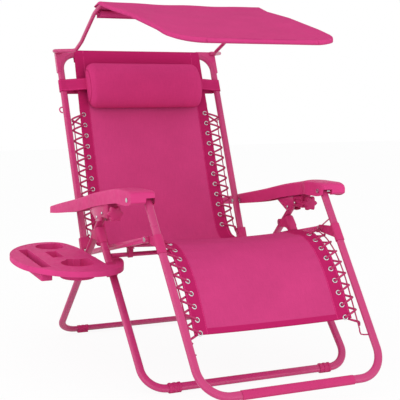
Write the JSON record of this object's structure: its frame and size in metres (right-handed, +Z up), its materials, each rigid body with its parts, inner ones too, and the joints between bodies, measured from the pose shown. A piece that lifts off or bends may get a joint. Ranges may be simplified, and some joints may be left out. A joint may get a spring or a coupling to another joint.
{
  "type": "sun lounger with canopy",
  "caption": "Pink zero-gravity sun lounger with a laced sling seat, head pillow, tilting canopy, flared armrests and a side cup tray",
  "frame": {"origin": "on the floor, below the middle of the bounding box", "axes": "+X is the sitter's left-to-right as seen from the front, +Y runs from the leg end to the head end, +Z is up"},
  "size_m": [1.0252, 1.2776, 1.2149],
  "materials": {
    "frame_paint": "gloss powder coat",
    "sling_cloth": "woven mesh cloth",
    "canopy_cloth": "woven cloth",
    "elastic": "braided elastic",
    "gloss_plastic": "moulded, glossy",
    "plastic": "moulded, satin",
    "zinc_steel": "zinc plated"
  },
  "bodies": {
    "base": {"rear_leg_tube": "frame_paint", "rear_foot_left": "plastic", "rear_foot_right": "plastic", "base_pivot_pin_left": "zinc_steel", "base_pivot_pin_right": "zinc_steel", "armrest_left": "gloss_plastic", "armrest_right": "gloss_plastic", "slide_strip_left": "zinc_steel", "slide_strip_right": "zinc_steel", "lock_bracket_left": "frame_paint", "lock_bracket_right": "frame_paint", "lock_block_left": "plastic", "lock_block_right": "plastic", "arm_rear_bolt_left": "zinc_steel", "arm_rear_bolt_right": "zinc_steel", "arm_front_bolt_left": "zinc_steel", "arm_front_bolt_right": "zinc_steel"},
    "front_legs": {"front_leg_tube": "frame_paint", "front_foot_left": "plastic", "front_foot_right": "plastic", "leg_cap_left": "plastic", "leg_cap_right": "plastic", "base_cross_tube": "frame_paint", "cross_bumper_left": "plastic", "cross_bumper_right": "plastic", "tray_clamp": "plastic"},
    "knob_left": {"lock_knob_left": "plastic"},
    "knob_right": {"lock_knob_right": "plastic"},
    "back": {"back_frame_tube": "frame_paint", "hip_cap_left": "plastic", "hip_cap_right": "plastic", "back_sling": "sling_cloth", "back_side_cord_left": "elastic", "back_side_cord_right": "elastic", "back_lacing_left": "elastic", "back_lacing_right": "elastic", "canopy_bracket_left": "plastic", "canopy_bracket_right": "plastic"},
    "pillow": {"pillow": "sling_cloth", "pillow_strap": "elastic"},
    "legs": {"leg_frame_tube": "frame_paint", "leg_bar_sleeve": "plastic", "knee_sleeve_left": "plastic", "knee_sleeve_right": "plastic", "leg_sling": "sling_cloth", "leg_side_cord_left": "elastic", "leg_side_cord_right": "elastic", "leg_lacing_left": "elastic", "leg_lacing_right": "elastic", "knee_pin_left": "zinc_steel", "knee_pin_right": "zinc_steel"},
    "seat": {"seat_link_left": "frame_paint", "seat_link_right": "frame_paint", "seat_sling": "sling_cloth"},
    "canopy": {"canopy_wire": "frame_paint", "canopy_cross_rod": "frame_paint", "canopy_cloth": "canopy_cloth"},
    "tray": {"tray": "gloss_plastic"},
    "tray_screw": {"clamp_screw": "plastic"}
  },
  "joints": [
    {"name": "recline", "type": "hinge", "parent": "base", "child": "back", "pos_m": [0.12558, 0.39878, 0.49], "axis": [-1, 0, 0], "range_deg": [0, 30]},
    {"name": "leg_lift", "type": "hinge", "parent": "base", "child": "legs", "pos_m": [0.12558, -0.24022, 0.585], "axis": [-1, 0, 0], "range_deg": [0, 37]},
    {"name": "seat_link", "type": "hinge", "parent": "legs", "child": "seat", "pos_m": [0.12558, -0.23622, 0.46], "axis": [-1, 0, 0], "range_deg": [-40, 0]},
    {"name": "base_fold", "type": "hinge", "parent": "base", "child": "front_legs", "pos_m": [0.12558, 0.10338, 0.4379], "axis": [1, 0, 0], "range_deg": [0, 60]},
    {"name": "knob_left_turn", "type": "hinge", "parent": "base", "child": "knob_left", "pos_m": [-0.23442, -0.06472, 0.525], "axis": [0, 1, 0], "continuous": true},
    {"name": "knob_right_turn", "type": "hinge", "parent": "base", "child": "knob_right", "pos_m": [0.48558, -0.06472, 0.525], "axis": [0, 1, 0], "continuous": true},
    {"name": "canopy_tilt", "type": "hinge", "parent": "back", "child": "canopy", "pos_m": [0.12558, 0.61378, 1.06], "axis": [-1, 0, 0], "range_deg": [-10, 75]},
    {"name": "pillow_slide", "type": "slide", "parent": "back", "child": "pillow", "axis": [0, 0.3714, 0.9285], "range_m": [-0.05, 0]},
    {"name": "tray_tilt", "type": "hinge", "parent": "front_legs", "child": "tray", "pos_m": [-0.23442, -0.04322, 0.34], "axis": [-1, 0, 0], "range_deg": [-3, 3]},
    {"name": "tray_screw_turn", "type": "hinge", "parent": "front_legs", "child": "tray_screw", "pos_m": [-0.25442, -0.04322, 0.34], "axis": [-1, 0, 0], "continuous": true}
  ],
  "couplings": [
    {"joint": "leg_lift", "follows": "recline", "ratio": 1.23},
    {"joint": "seat_link", "follows": "recline", "ratio": -1.33}
  ]
}
